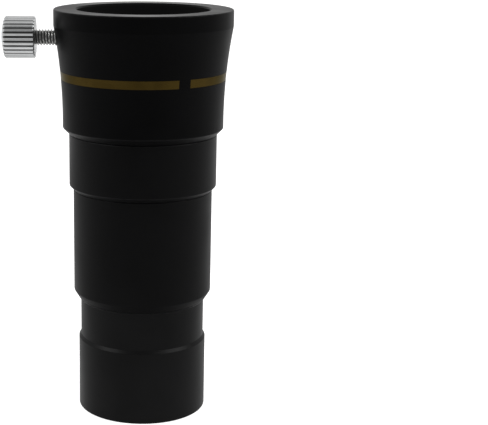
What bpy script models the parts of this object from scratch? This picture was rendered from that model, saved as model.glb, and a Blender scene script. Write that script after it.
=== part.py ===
"""Three-times Barlow lens for 1.25-inch telescope eyepieces, as an assembly of turned pieces.

The optical axis is +Z. The nose end, which goes into the focuser, is at height zero and the
rim that takes the eyepiece is on top. The thumbscrew that clamps the eyepiece points to -X.
"""

import math

import bmesh
import bpy
from mathutils import Matrix, Vector

MM = 0.001

# Fits between the pieces
SEAT_GAP = 0.05 * MM
FIT_GAP = 0.10 * MM
SCREW_GAP = 0.15 * MM

# Outside of the barrel: the standard 1.25-inch barrel and the steps up from it
BARREL_DIAMETER = 31.75 * MM
TUBE_STEP = 1.165 * MM
BAND_STEP = 0.99 * MM
COLLAR_STEP = 1.50 * MM
LIP_STEP = 2.045 * MM

# Heights along the optical axis
NOSE_LENGTH = 28.5 * MM
NOSE_LAND_LENGTH = 18.0 * MM
TUBE_LENGTH = 27.5 * MM
BAND_LENGTH = 13.75 * MM
COLLAR_LENGTH = 29.9 * MM
COLLAR_LAND_LENGTH = 1.75 * MM
LIP_LENGTH = 3.95 * MM

# Groove round the nose that catches a focuser's clamp screw
UNDERCUT_DEPTH = 0.525 * MM
UNDERCUT_LOWER_TAPER = 0.8 * MM
UNDERCUT_UPPER_TAPER = 0.5 * MM

# Broken edges
NOSE_EDGE = 0.3 * MM
RIM_EDGE = 0.35 * MM
MOUTH_EDGE = 0.4 * MM
SOCKET_FLOOR_EDGE = 0.8 * MM
TUBE_FOOT_EDGE = 0.45 * MM

# Eyepiece socket and the screwed joints that hold the three turned tubes together
SOCKET_CLEARANCE = 0.125 * MM
SOCKET_DEPTH = 30.65 * MM
COLLAR_SKIRT_WALL = 0.73 * MM
COLLAR_JOINT_LENGTH = 6.8 * MM
NOSE_JOINT_STEP = 0.9 * MM
NOSE_JOINT_WALL = 1.175 * MM
NOSE_JOINT_LENGTH = 6.5 * MM

# Filter recess, retaining ring and lens cell in the nose
FILTER_WALL = 1.745 * MM
FILTER_DEPTH = 5.5 * MM
RING_LAND = 1.33 * MM
RING_THICKNESS = 2.45 * MM
RING_EDGE = 0.5 * MM
SPANNER_HOLE_DIAMETER = 1.2 * MM
SPANNER_HOLE_DEPTH = 1.4 * MM
SPANNER_AZIMUTH = math.radians(101)
LENS_SEAT_WIDTH = 1.5 * MM
LENS_SEAT_THICKNESS = 1.5 * MM

# Three lens elements: a flat-backed negative lens, then a cemented pair
FRONT_CURVE = 51.7 * MM
FRONT_CENTRE_THICKNESS = 2.2 * MM
SPACER_THICKNESS = 1.2 * MM
SPACER_WALL = 1.2 * MM
MIDDLE_CURVE = 50.0 * MM
CEMENT_CURVE = 40.0 * MM
MIDDLE_CENTRE_THICKNESS = 1.6 * MM
REAR_CURVE = 110.0 * MM
REAR_CENTRE_THICKNESS = 3.6 * MM
CEMENT_GAP = 0.05 * MM

# Gold stripe let into the flare, with one short break
STRIPE_BELOW_RIM = 14.35 * MM
STRIPE_WIDTH = 2.2 * MM
STRIPE_DEPTH = 0.4 * MM
STRIPE_BREAK = 2.9 * MM
STRIPE_BREAK_AZIMUTH = math.radians(-61.5)

# Thumbscrew
SCREW_BELOW_RIM = 6.95 * MM
STUD_DIAMETER = 4.0 * MM
STUD_EDGE = 0.4 * MM
STUD_IN_HEAD = 5.0 * MM
HEAD_DIAMETER = 10.0 * MM
HEAD_LENGTH = 8.1 * MM
HEAD_STANDOFF = 4.35 * MM
HEAD_CROWN = 0.75 * MM
HEAD_OUTER_EDGE = 0.35 * MM
HEAD_INNER_EDGE = 0.4 * MM
KNURL_TEETH = 28
KNURL_DEPTH = 0.4 * MM
KNURL_CREST_SHARE = 0.45
KNURL_FLOOR_SHARE = 0.15
TIP_DIAMETER = 2.4 * MM
TIP_LENGTH = 2.1 * MM
TIP_PROUD = 0.6 * MM
TIP_EDGE = 0.2 * MM
TIP_SETBACK = 0.4 * MM

# Facets
TURN_STEPS = 60
SMALL_STEPS = 24
FLARE_STEPS = 6
LENS_RINGS = 3
CROWN_RINGS = 4
SMOOTH_ANGLE = math.radians(30)
CUT_MARGIN = 1.0 * MM

# Radii that follow from the sizes above
NOSE_R = BARREL_DIAMETER / 2
TUBE_R = NOSE_R + TUBE_STEP
BAND_R = TUBE_R + BAND_STEP
COLLAR_R = BAND_R + COLLAR_STEP
LIP_R = COLLAR_R + LIP_STEP
SOCKET_R = BARREL_DIAMETER / 2 + SOCKET_CLEARANCE
COLLAR_JOINT_R = BAND_R - COLLAR_SKIRT_WALL
NOSE_JOINT_R = NOSE_R - NOSE_JOINT_STEP
PASSAGE_R = NOSE_JOINT_R - NOSE_JOINT_WALL
FILTER_R = NOSE_R - FILTER_WALL
CELL_R = FILTER_R - RING_LAND
LENS_R = CELL_R - FIT_GAP
APERTURE_R = LENS_R - LENS_SEAT_WIDTH

# Heights that follow from the sizes above
TUBE_FOOT = NOSE_LENGTH
BAND_FOOT = TUBE_FOOT + TUBE_LENGTH
COLLAR_FOOT = BAND_FOOT + BAND_LENGTH
RIM = COLLAR_FOOT + COLLAR_LENGTH
SOCKET_FLOOR = RIM - SOCKET_DEPTH
FLARE_FOOT = COLLAR_FOOT + COLLAR_STEP + COLLAR_LAND_LENGTH
FLARE_TOP = RIM - LIP_LENGTH
FLARE_RADIUS = ((FLARE_TOP - FLARE_FOOT) ** 2 + LIP_STEP ** 2) / (2 * LIP_STEP)
STRIPE_TOP = RIM - STRIPE_BELOW_RIM
STRIPE_FOOT = STRIPE_TOP - STRIPE_WIDTH
SCREW_HEIGHT = RIM - SCREW_BELOW_RIM


def lens_sag(curve, radius):
    """Depth of a spherical surface of this radius of curvature at a distance from the axis."""
    return curve - math.sqrt(curve ** 2 - radius ** 2)


# The lens stack, built up from the retaining ring
RING_FOOT = FILTER_DEPTH
RING_TOP = RING_FOOT + RING_THICKNESS
FRONT_FOOT = RING_TOP + SEAT_GAP
FRONT_EDGE_TOP = FRONT_FOOT + FRONT_CENTRE_THICKNESS + lens_sag(FRONT_CURVE, LENS_R)
SPACER_FOOT = FRONT_EDGE_TOP + SEAT_GAP
SPACER_TOP = SPACER_FOOT + SPACER_THICKNESS
MIDDLE_EDGE_FOOT = SPACER_TOP + SEAT_GAP
MIDDLE_CENTRE_FOOT = MIDDLE_EDGE_FOOT + lens_sag(MIDDLE_CURVE, LENS_R)
MIDDLE_CENTRE_TOP = MIDDLE_CENTRE_FOOT + MIDDLE_CENTRE_THICKNESS
REAR_CENTRE_FOOT = MIDDLE_CENTRE_TOP + CEMENT_GAP
REAR_CENTRE_TOP = REAR_CENTRE_FOOT + REAR_CENTRE_THICKNESS
REAR_EDGE_TOP = REAR_CENTRE_TOP + lens_sag(REAR_CURVE, LENS_R)
SEAT_FOOT = REAR_EDGE_TOP + SEAT_GAP
SEAT_TOP = SEAT_FOOT + LENS_SEAT_THICKNESS

# Distances from the optical axis along the thumbscrew
HEAD_INNER = LIP_R + HEAD_STANDOFF
HEAD_OUTER = HEAD_INNER + HEAD_LENGTH
TIP_END = SOCKET_R + TIP_SETBACK
STUD_END = TIP_END + TIP_PROUD
TIP_HOLE_FLOOR = TIP_END + TIP_LENGTH + SEAT_GAP
STUD_TOP = HEAD_INNER + STUD_IN_HEAD


def clear_scene():
    for obj in list(bpy.data.objects):
        bpy.data.objects.remove(obj, do_unlink=True)


def make_material(name, colour, roughness, metallic, transmission=0.0):
    material = bpy.data.materials.new(name)
    material.use_nodes = True
    shader = material.node_tree.nodes["Principled BSDF"]
    shader.inputs["Base Color"].default_value = (*colour, 1.0)
    shader.inputs["Roughness"].default_value = roughness
    shader.inputs["Metallic"].default_value = metallic
    shader.inputs["Transmission Weight"].default_value = transmission
    material.diffuse_color = (*colour, 1.0)
    return material


def add_object(name, bm, material=None, parent=None):
    """Wraps a bmesh as a smooth-shaded object with its faces pointing out."""
    bmesh.ops.recalc_face_normals(bm, faces=bm.faces)
    mesh = bpy.data.meshes.new(name)
    bm.to_mesh(mesh)
    bm.free()
    mesh.shade_smooth()
    mesh.set_sharp_from_angle(angle=SMOOTH_ANGLE)
    obj = bpy.data.objects.new(name, mesh)
    bpy.context.scene.collection.objects.link(obj)
    if material:
        mesh.materials.append(material)
    obj.parent = parent
    return obj


def turned(name, profile, material=None, parent=None, steps=TURN_STEPS):
    """Turns an outline of (radius, height) points once round the Z axis."""
    bm = bmesh.new()
    verts = [bm.verts.new((radius, 0, height)) for radius, height in profile]
    pairs = list(zip(verts, verts[1:]))
    if profile[0][0] > 0:
        pairs.append((verts[-1], verts[0]))
    edges = [bm.edges.new(pair) for pair in pairs]
    bmesh.ops.spin(bm, geom=verts + edges, axis=(0, 0, 1), angle=2 * math.pi,
                   steps=steps, use_merge=True)
    bmesh.ops.remove_doubles(bm, verts=bm.verts, dist=0.001 * MM)
    return add_object(name, bm, material, parent)


def turned_part_way(name, profile, start, sweep, material=None):
    """Turns a closed outline through an arc, which leaves a C with flat ends."""
    steps = max(8, round(TURN_STEPS * sweep / (2 * math.pi)))
    bm = bmesh.new()
    rows = []
    for step in range(steps + 1):
        turn = Matrix.Rotation(start + sweep * step / steps, 3, "Z")
        rows.append([bm.verts.new(turn @ Vector((r, 0, z))) for r, z in profile])
    count = len(profile)
    for row, following in zip(rows, rows[1:]):
        for i in range(count):
            j = (i + 1) % count
            bm.faces.new((row[i], row[j], following[j], following[i]))
    bm.faces.new(rows[0])
    bm.faces.new(list(reversed(rows[-1])))
    return add_object(name, bm, material)


def drill(name, diameter, foot, top, parent=None):
    """A round cutter along Z, hidden from the finished object."""
    radius = diameter / 2
    profile = [(0, top), (radius, top), (radius, foot), (0, foot)]
    return hidden(turned(name, profile, parent=parent, steps=SMALL_STEPS))


def hidden(cutter):
    cutter.hide_render = True
    cutter.display_type = "WIRE"
    return cutter


def combine(obj, cutter, operation="DIFFERENCE"):
    boolean = obj.modifiers.new(cutter.name, "BOOLEAN")
    boolean.operation = operation
    boolean.solver = "EXACT"
    boolean.object = cutter


def flare_radius_at(height):
    """Radius of the concave flare, an arc tangent to the collar's straight foot."""
    rise = height - FLARE_FOOT
    return COLLAR_R + FLARE_RADIUS - math.sqrt(FLARE_RADIUS ** 2 - rise ** 2)


def flare_points():
    """The flare's outline from the lip down to the foot of the arc."""
    span = FLARE_TOP - FLARE_FOOT
    heights = [FLARE_TOP - span * i / FLARE_STEPS for i in range(FLARE_STEPS + 1)]
    return [(flare_radius_at(height), height) for height in heights]


def make_eyepiece_holder(material, screw_axis):
    """Flared collar with the eyepiece socket, a tapped cross hole and the stripe's groove."""
    joint_r = COLLAR_JOINT_R
    joint_top = COLLAR_FOOT + COLLAR_JOINT_LENGTH + SEAT_GAP
    profile = [
        (LIP_R - RIM_EDGE, RIM),
        (LIP_R, RIM - RIM_EDGE),
        *flare_points(),
        (COLLAR_R, COLLAR_FOOT + COLLAR_STEP),
        (BAND_R, COLLAR_FOOT),
        (joint_r, COLLAR_FOOT),
        (joint_r, joint_top),
        (SOCKET_R, joint_top),
        (SOCKET_R, RIM - MOUTH_EDGE),
        (SOCKET_R + MOUTH_EDGE, RIM),
    ]
    holder = turned("eyepiece_holder", profile, material)
    hole = drill("screw_hole_cutter", STUD_DIAMETER + 2 * SCREW_GAP,
                 SOCKET_R - CUT_MARGIN, LIP_R + CUT_MARGIN, screw_axis)
    combine(holder, hole)
    combine(holder, hidden(stripe_arc("stripe_groove_cutter", 0.0, CUT_MARGIN)))
    return holder


def stripe_arc(name, gap, proud, material=None):
    """The stripe's C, drawn in by a gap on every side and standing proud of the flare."""
    foot = STRIPE_FOOT + gap
    top = STRIPE_TOP - gap
    floor = flare_radius_at(STRIPE_FOOT) - STRIPE_DEPTH + gap
    profile = [
        (flare_radius_at(top) + proud, top),
        (flare_radius_at(foot) + proud, foot),
        (floor, foot),
        (floor, top),
    ]
    break_angle = (STRIPE_BREAK + 2 * gap) / flare_radius_at(STRIPE_FOOT)
    start = STRIPE_BREAK_AZIMUTH + break_angle / 2
    return turned_part_way(name, profile, start, 2 * math.pi - break_angle, material)


def make_body_tube(material):
    """Plain tube with the raised band, screwed to the collar above and to the nose below."""
    spigot_r = COLLAR_JOINT_R - FIT_GAP
    spigot_top = COLLAR_FOOT + COLLAR_JOINT_LENGTH
    band_top = COLLAR_FOOT - SEAT_GAP
    joint_r = NOSE_JOINT_R + FIT_GAP
    foot = TUBE_FOOT + SEAT_GAP
    profile = [
        (spigot_r, spigot_top),
        (spigot_r, band_top),
        (BAND_R, band_top),
        (BAND_R, BAND_FOOT + BAND_STEP),
        (TUBE_R, BAND_FOOT),
        (TUBE_R, foot + TUBE_STEP + TUBE_FOOT_EDGE),
        (TUBE_R - TUBE_FOOT_EDGE / 3, foot + TUBE_STEP),
        (NOSE_R, foot),
        (joint_r, foot),
        (joint_r, TUBE_FOOT + NOSE_JOINT_LENGTH + SEAT_GAP),
        (PASSAGE_R, TUBE_FOOT + NOSE_JOINT_LENGTH + SEAT_GAP),
        (PASSAGE_R, SOCKET_FLOOR - SOCKET_FLOOR_EDGE),
        (PASSAGE_R + SOCKET_FLOOR_EDGE, SOCKET_FLOOR),
        (SOCKET_R, SOCKET_FLOOR),
        (SOCKET_R, spigot_top),
    ]
    return turned("body_tube", profile, material)


def make_nose_barrel(material):
    """Nose with its clamp groove, filter recess, lens cell and screwed neck."""
    neck_r = NOSE_R - UNDERCUT_DEPTH
    neck_foot = NOSE_LAND_LENGTH + UNDERCUT_LOWER_TAPER
    joint_top = TUBE_FOOT + NOSE_JOINT_LENGTH
    ring_seat = RING_TOP + SEAT_GAP / 2
    profile = [
        (NOSE_JOINT_R, joint_top),
        (NOSE_JOINT_R, NOSE_LENGTH),
        (NOSE_R, NOSE_LENGTH),
        (neck_r, NOSE_LENGTH - UNDERCUT_UPPER_TAPER),
        (neck_r, neck_foot),
        (NOSE_R, NOSE_LAND_LENGTH),
        (NOSE_R, NOSE_EDGE),
        (NOSE_R - NOSE_EDGE, 0),
        (FILTER_R + NOSE_EDGE, 0),
        (FILTER_R, NOSE_EDGE),
        (FILTER_R, ring_seat),
        (CELL_R, ring_seat),
        (CELL_R, SEAT_FOOT),
        (APERTURE_R, SEAT_FOOT),
        (APERTURE_R, SEAT_TOP),
        (PASSAGE_R, SEAT_TOP),
        (PASSAGE_R, joint_top),
    ]
    return turned("nose_barrel", profile, material)


def make_retaining_ring(material):
    """Screwed ring that holds the lens stack, with two holes for a pin spanner."""
    ring_r = FILTER_R - FIT_GAP
    profile = [
        (ring_r, RING_TOP),
        (ring_r, RING_FOOT),
        (APERTURE_R + RING_EDGE, RING_FOOT),
        (APERTURE_R, RING_FOOT + RING_EDGE),
        (APERTURE_R, RING_TOP),
    ]
    ring = turned("retaining_ring", profile, material)
    hole_circle = (ring_r + APERTURE_R + RING_EDGE) / 2
    for number in range(2):
        hole = drill(f"spanner_hole_cutter_{number + 1}", SPANNER_HOLE_DIAMETER,
                     RING_FOOT - CUT_MARGIN, RING_FOOT + SPANNER_HOLE_DEPTH)
        azimuth = SPANNER_AZIMUTH + number * math.pi
        hole.location = (hole_circle * math.cos(azimuth), hole_circle * math.sin(azimuth), 0)
        combine(ring, hole)
    return ring


def cap_points(centre_height, curve, sign):
    """A spherical lens surface from the axis to its edge, rising where sign is 1."""
    radii = [LENS_R * i / LENS_RINGS for i in range(LENS_RINGS + 1)]
    return [(r, centre_height + sign * lens_sag(curve, r)) for r in radii]


def make_front_lens(material):
    """Negative lens with its flat side to the nose."""
    hollow = cap_points(FRONT_FOOT + FRONT_CENTRE_THICKNESS, FRONT_CURVE, 1)
    return turned("front_lens", [*hollow, (LENS_R, FRONT_FOOT), (0, FRONT_FOOT)], material)


def make_spacer_ring(material):
    profile = [
        (LENS_R, SPACER_TOP),
        (LENS_R, SPACER_FOOT),
        (LENS_R - SPACER_WALL, SPACER_FOOT),
        (LENS_R - SPACER_WALL, SPACER_TOP),
    ]
    return turned("spacer_ring", profile, material)


def make_middle_lens(material):
    """Negative lens, hollow on both sides, cemented to the rear lens."""
    upper = cap_points(MIDDLE_CENTRE_TOP, CEMENT_CURVE, 1)
    lower = cap_points(MIDDLE_CENTRE_FOOT, MIDDLE_CURVE, -1)
    return turned("middle_lens", [*upper, *reversed(lower)], material)


def make_rear_lens(material):
    """Positive meniscus whose lower side fills the middle lens's upper hollow."""
    upper = cap_points(REAR_CENTRE_TOP, REAR_CURVE, 1)
    lower = cap_points(REAR_CENTRE_FOOT, CEMENT_CURVE, 1)
    return turned("rear_lens", [*upper, *reversed(lower)], material)


def knurl_prism(name, parent):
    """Star-shaped bar: flat crests and narrow floors, one for each tooth of the knurl."""
    pitch = 2 * math.pi / KNURL_TEETH
    crest_r = HEAD_DIAMETER / 2
    floor_r = crest_r - KNURL_DEPTH
    corners = [
        (-KNURL_CREST_SHARE / 2, crest_r),
        (KNURL_CREST_SHARE / 2, crest_r),
        (0.5 - KNURL_FLOOR_SHARE / 2, floor_r),
        (0.5 + KNURL_FLOOR_SHARE / 2, floor_r),
    ]
    bm = bmesh.new()
    outline = []
    for tooth in range(KNURL_TEETH):
        for share, radius in corners:
            angle = (tooth + share) * pitch
            place = (radius * math.cos(angle), radius * math.sin(angle), HEAD_INNER - CUT_MARGIN)
            outline.append(bm.verts.new(place))
    face = bm.faces.new(outline)
    pulled = bmesh.ops.extrude_face_region(bm, geom=[face])
    top = [item for item in pulled["geom"] if isinstance(item, bmesh.types.BMVert)]
    bmesh.ops.translate(bm, verts=top, vec=(0, 0, HEAD_LENGTH + 2 * CUT_MARGIN))
    return hidden(add_object(name, bm, parent=parent))


def make_thumbscrew_head(material, screw_axis):
    """Turned knob with a crowned, bevelled end, cut to a straight knurl and bored for its stud."""
    wide = HEAD_DIAMETER / 2 + KNURL_DEPTH
    outer_face = HEAD_DIAMETER / 2 - HEAD_OUTER_EDGE
    inner_face = HEAD_DIAMETER / 2 - HEAD_INNER_EDGE
    bore_r = STUD_DIAMETER / 2 + FIT_GAP
    crown_curve = (outer_face ** 2 + HEAD_CROWN ** 2) / (2 * HEAD_CROWN)
    crown_radii = [outer_face * i / CROWN_RINGS for i in range(CROWN_RINGS + 1)]
    profile = [
        *[(r, HEAD_OUTER - lens_sag(crown_curve, r)) for r in crown_radii],
        (wide, HEAD_OUTER - HEAD_CROWN - (wide - outer_face)),
        (wide, HEAD_INNER + (wide - inner_face)),
        (inner_face, HEAD_INNER),
        (bore_r, HEAD_INNER),
        (bore_r, STUD_TOP + SEAT_GAP),
        (0, STUD_TOP + SEAT_GAP),
    ]
    head = turned("thumbscrew_head", profile, material, screw_axis)
    combine(head, knurl_prism("knurl_cutter", screw_axis), "INTERSECT")
    return head


def make_thumbscrew_stud(material, screw_axis):
    """Screw shank pressed into the head, with a blind hole for the soft tip."""
    stud_r = STUD_DIAMETER / 2
    hole_r = TIP_DIAMETER / 2 + FIT_GAP
    edge = min(STUD_EDGE, (stud_r - hole_r) / 2)
    profile = [
        (0, STUD_TOP),
        (stud_r, STUD_TOP),
        (stud_r, STUD_END + edge),
        (stud_r - edge, STUD_END),
        (hole_r, STUD_END),
        (hole_r, TIP_HOLE_FLOOR),
        (0, TIP_HOLE_FLOOR),
    ]
    return turned("thumbscrew_stud", profile, material, screw_axis, SMALL_STEPS)


def make_thumbscrew_tip(material, screw_axis):
    """Soft button that meets the eyepiece barrel and stays still while the screw turns."""
    tip_r = TIP_DIAMETER / 2
    profile = [
        (0, TIP_END + TIP_LENGTH),
        (tip_r, TIP_END + TIP_LENGTH),
        (tip_r, TIP_END + TIP_EDGE),
        (tip_r - TIP_EDGE, TIP_END),
        (0, TIP_END),
    ]
    return turned("thumbscrew_tip", profile, material, screw_axis, SMALL_STEPS)


def make_screw_axis():
    """Empty on the thumbscrew's axis whose +Z points out of the collar, to -X."""
    axis = bpy.data.objects.new("thumbscrew_axis", None)
    axis.location = (0, 0, SCREW_HEIGHT)
    axis.rotation_euler = (0, -math.pi / 2, 0)
    bpy.context.scene.collection.objects.link(axis)
    return axis


def main():
    clear_scene()
    black = make_material("black_anodised", (0.012, 0.012, 0.013), 0.38, 0.5)
    inner_black = make_material("matt_black", (0.010, 0.010, 0.010), 0.65, 0.0)
    gold = make_material("gold_enamel", (0.20, 0.13, 0.035), 0.45, 0.6)
    glass = make_material("optical_glass", (0.95, 0.97, 0.96), 0.02, 0.0, 1.0)
    nickel = make_material("bright_nickel", (0.72, 0.72, 0.71), 0.22, 1.0)
    steel = make_material("screw_steel", (0.42, 0.42, 0.41), 0.35, 1.0)
    nylon = make_material("nylon", (0.70, 0.68, 0.62), 0.5, 0.0)

    screw_axis = make_screw_axis()
    make_eyepiece_holder(black, screw_axis)
    stripe_arc("gold_band", SEAT_GAP, 0.0, gold)
    make_body_tube(black)
    make_nose_barrel(black)
    make_retaining_ring(inner_black)
    make_front_lens(glass)
    make_spacer_ring(inner_black)
    make_middle_lens(glass)
    make_rear_lens(glass)
    make_thumbscrew_head(nickel, screw_axis)
    make_thumbscrew_stud(steel, screw_axis)
    make_thumbscrew_tip(nylon, screw_axis)


main()
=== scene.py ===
# %% [markdown]
# # A Barlow lens on a white table
# A Barlow lens is a short tube that goes between a telescope's focuser and an eyepiece. The packed
# CAD model is the fixed frame: it says where each piece is and which body it moves with. Everything
# below dresses that frame with finer meshes, finishes, light and a camera. The box of the plain
# model is kept, so that the dressed one can be compared with it at the end.

# %% Load the frame
import math
from functools import partial

import bmesh
import bpy
from mathutils import Matrix, Vector


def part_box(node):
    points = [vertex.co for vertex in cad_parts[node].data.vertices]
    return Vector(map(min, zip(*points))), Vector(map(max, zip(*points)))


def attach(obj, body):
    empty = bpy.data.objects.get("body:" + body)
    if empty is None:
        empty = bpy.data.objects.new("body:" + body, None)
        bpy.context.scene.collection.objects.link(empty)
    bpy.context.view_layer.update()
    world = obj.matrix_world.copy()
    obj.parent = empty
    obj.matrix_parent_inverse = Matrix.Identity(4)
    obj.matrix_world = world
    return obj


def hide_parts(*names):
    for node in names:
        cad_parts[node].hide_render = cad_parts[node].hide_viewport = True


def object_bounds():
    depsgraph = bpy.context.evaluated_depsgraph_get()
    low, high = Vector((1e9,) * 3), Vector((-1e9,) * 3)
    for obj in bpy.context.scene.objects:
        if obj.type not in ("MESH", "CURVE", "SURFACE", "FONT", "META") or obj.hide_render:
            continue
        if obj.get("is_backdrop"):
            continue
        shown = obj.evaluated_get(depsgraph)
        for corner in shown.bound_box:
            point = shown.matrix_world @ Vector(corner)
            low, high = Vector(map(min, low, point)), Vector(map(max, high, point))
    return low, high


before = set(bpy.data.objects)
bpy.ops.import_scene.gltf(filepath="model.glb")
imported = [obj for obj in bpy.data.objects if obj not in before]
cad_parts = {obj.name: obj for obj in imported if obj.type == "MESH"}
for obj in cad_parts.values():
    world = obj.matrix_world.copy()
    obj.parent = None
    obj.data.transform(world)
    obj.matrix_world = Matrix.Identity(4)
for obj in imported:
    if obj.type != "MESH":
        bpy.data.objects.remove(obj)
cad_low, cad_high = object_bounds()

MM = 0.001
scene = bpy.context.scene
print("CAD nodes:", ", ".join(sorted(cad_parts)))

# %% [markdown]
# # Sizes from the frame
# A lathe operator reads a drawing for the diameters and shoulders. Here the drawing is the frame:
# the corner boxes of its nodes give the radii and the heights, and only small features that a box
# can't tell, such as a groove or a chamfer, are written as numbers.

# %% Read the main radii and heights
holder_low, holder_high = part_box("eyepiece_holder")
tube_low, tube_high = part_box("body_tube")
nose_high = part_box("nose_barrel")[1]
ring_low, ring_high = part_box("retaining_ring")
lens_low, lens_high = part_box("front_lens")
head_low, head_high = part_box("thumbscrew_head")

lip_r = holder_high.y
band_r = tube_high.y
nose_r = nose_high.y
ring_r = ring_high.y
lens_r = lens_high.y
tube_r = nose_r + 1.165 * MM
collar_r = band_r + 1.5 * MM
socket_r = nose_r + 0.125 * MM
passage_r = nose_r - 2.075 * MM
aperture_r = lens_r - 1.5 * MM
rim = holder_high.z
collar_foot = holder_low.z
band_top = collar_foot - 0.05 * MM
band_foot = collar_foot - 13.75 * MM
tube_foot = tube_low.z
nose_shoulder = tube_foot - 0.05 * MM
screw_height = (head_low.z + head_high.z) / 2
print(f"lip {lip_r / MM:.2f} mm, nose {nose_r / MM:.2f} mm in radius, {rim / MM:.2f} mm tall")

# %% [markdown]
# # The camera
# The photograph was taken from a little above, with a long lens. The camera's place and angles come
# from fitting the straight edges and circles of the turned body, so they are plain numbers here.
# The focal length in pixels belongs to a picture 488 pixels wide.

# %% Camera
PICTURE_WIDTH = 488
FOCAL_PIXELS = 1298.6
AXIS_COLUMN = 143.0
SENSOR_WIDTH = 36.0
CAMERA_PLACE = (-0.034 * MM, -312.381 * MM, 126.523 * MM)
LOOKS_DOWN, LOOKS_ASIDE, ROLL = 13.843, -0.0228, 0.2917
camera_data = bpy.data.cameras.new("camera")
camera_data.sensor_width = SENSOR_WIDTH
camera_data.lens = SENSOR_WIDTH * FOCAL_PIXELS / PICTURE_WIDTH
camera_data.shift_x = 0.5 - AXIS_COLUMN / PICTURE_WIDTH
camera_data.clip_start = 0.01
camera_data.clip_end = 20.0
camera = bpy.data.objects.new("camera", camera_data)
scene.collection.objects.link(camera)
camera_turn = (
    Matrix.Rotation(math.radians(LOOKS_ASIDE), 4, "Z")
    @ Matrix.Rotation(math.radians(90 - LOOKS_DOWN), 4, "X")
    @ Matrix.Rotation(math.radians(ROLL), 4, "Z")
)
camera.matrix_world = Matrix.Translation(CAMERA_PLACE) @ camera_turn
scene.camera = camera
print(f"lens {camera_data.lens:.1f} mm")

# %% [markdown]
# # Table, room and lamps
# Black satin metal has almost no colour of its own: it shows what is around it. A product
# photographer puts it in a white tent, keeps the front dim so that the middle stays black, and lets
# the bright sides draw the edges. The sky does that here. It is plain white where the camera sees
# it, and for reflections it goes from dim in front to bright behind. Area lamps add the glints.
# Seen from a little above, an upright wall mirrors the table and not the sky, so the table glows in
# a pool round the part, and again far behind it and at its sides. Under the nose and from below the
# table is open, so that light comes through the lenses, as it does when such a part is held up to
# look through.

# %% Table
scene.view_settings.view_transform = "Standard"
table_mesh = bpy.data.meshes.new("table")
TABLE_HALF = 4.0
corners = [(TABLE_HALF * x, TABLE_HALF * y, 0) for x, y in ((-1, -1), (1, -1), (1, 1), (-1, 1))]
table_mesh.from_pydata(corners, [], [(0, 1, 2, 3)])
table = bpy.data.objects.new("table", table_mesh)
scene.collection.objects.link(table)
table.location.z = -0.02 * MM
table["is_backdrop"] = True
print(f"table {2 * TABLE_HALF:.0f} m wide")

# %% Helpers for node trees
def wire(tree, value, socket):
    """Link a socket to a socket, or set a plain value on it."""
    if isinstance(value, bpy.types.NodeSocket):
        tree.links.new(value, socket)
    else:
        socket.default_value = value


def feed(tree, made, **inputs):
    """Wire the inputs of a node that are named."""
    for name, value in inputs.items():
        wire(tree, value, made.inputs[name.replace("_", " ")])


def node(tree, kind, settings=None, **inputs):
    """Add a node, set its properties, and feed its inputs."""
    made = tree.nodes.new(kind)
    for key, value in (settings or {}).items():
        setattr(made, key, value)
    feed(tree, made, **inputs)
    return made


def grey(level):
    """A colour without a hue."""
    return (level, level, level, 1)


def blend_colours(tree, share, first, second):
    """Mix two colours by a share from 0 to 1."""
    mix = node(tree, "ShaderNodeMix", {"data_type": "RGBA"})
    wire(tree, share, mix.inputs[0])
    wire(tree, first, mix.inputs[6])
    wire(tree, second, mix.inputs[7])
    return mix.outputs[2]


def in_order(tree, made, *values):
    """Wire the inputs of a node from the first one on, and give its first output."""
    for value, socket in zip(values, made.inputs):
        wire(tree, value, socket)
    return made.outputs[0]


def calc(tree, operation, *values, clamp=False):
    """One Math node, as a number to go on with."""
    made = node(tree, "ShaderNodeMath", {"operation": operation, "use_clamp": clamp})
    return in_order(tree, made, *values)


def remap(tree, value, low, high, to_low, to_high, kind="LINEAR"):
    """Stretch a value from one range to another."""
    made = node(tree, "ShaderNodeMapRange", {"interpolation_type": kind})
    return in_order(tree, made, value, low, high, to_low, to_high)


def new_material(name):
    """A material with one Principled shader, and the place of each point for its textures."""
    material = bpy.data.materials.new(name)
    material.use_nodes = True
    tree = material.node_tree
    tree.nodes.clear()
    shader = tree.nodes.new("ShaderNodeBsdfPrincipled")
    output = tree.nodes.new("ShaderNodeOutputMaterial")
    tree.links.new(shader.outputs[0], output.inputs[0])
    place = node(tree, "ShaderNodeTexCoord").outputs["Object"]
    return material, tree, shader, place


print("node helpers ready")

# %% Table finish
POOL_LIGHT = 0.70
POOL_REACH = 0.14
FAR_LIGHT = 0.45
SIDE_LIGHT = 0.30
SEEN_LIGHT = 0.80
PAPER_DARK, PAPER_LIGHT, PAPER_SHADE_IN_FRONT = 0.52, 0.56, 0.46
OPENING_R = nose_r - 0.4 * MM
table_finish, tree, shader, place = new_material("white_table")
mottle = node(tree, "ShaderNodeTexNoise", Vector=place, Scale=6.0, Detail=3.0).outputs[0]
paper = blend_colours(tree, mottle, grey(PAPER_DARK), grey(PAPER_LIGHT))
at = node(tree, "ShaderNodeSeparateXYZ", Vector=place).outputs
# Far in front of the part the paper is painted darker: a painted shade that keeps the front dim in
# what the black walls mirror.
out_of_front_shade = remap(tree, at["Y"], -0.45, -0.08, 0.0, 1.0, "SMOOTHSTEP")
feed(tree, shader, Base_Color=blend_colours(tree, out_of_front_shade, grey(PAPER_SHADE_IN_FRONT), paper),
     Roughness=0.7, Specular_IOR_Level=0.2)
length = node(tree, "ShaderNodeVectorMath", {"operation": "LENGTH"}, Vector=place)
from_part = length.outputs["Value"]
fading = calc(tree, "EXPONENT", calc(tree, "DIVIDE", from_part, -POOL_REACH))
pool = calc(tree, "MULTIPLY", fading, POOL_LIGHT)
far_side = remap(tree, at["Y"], 0.08, 0.40, 0.0, FAR_LIGHT, "SMOOTHSTEP")
off_axis = calc(tree, "ABSOLUTE", at["X"])
both_sides = remap(tree, off_axis, 0.10, 0.32, 0.0, SIDE_LIGHT, "SMOOTHSTEP")
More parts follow.
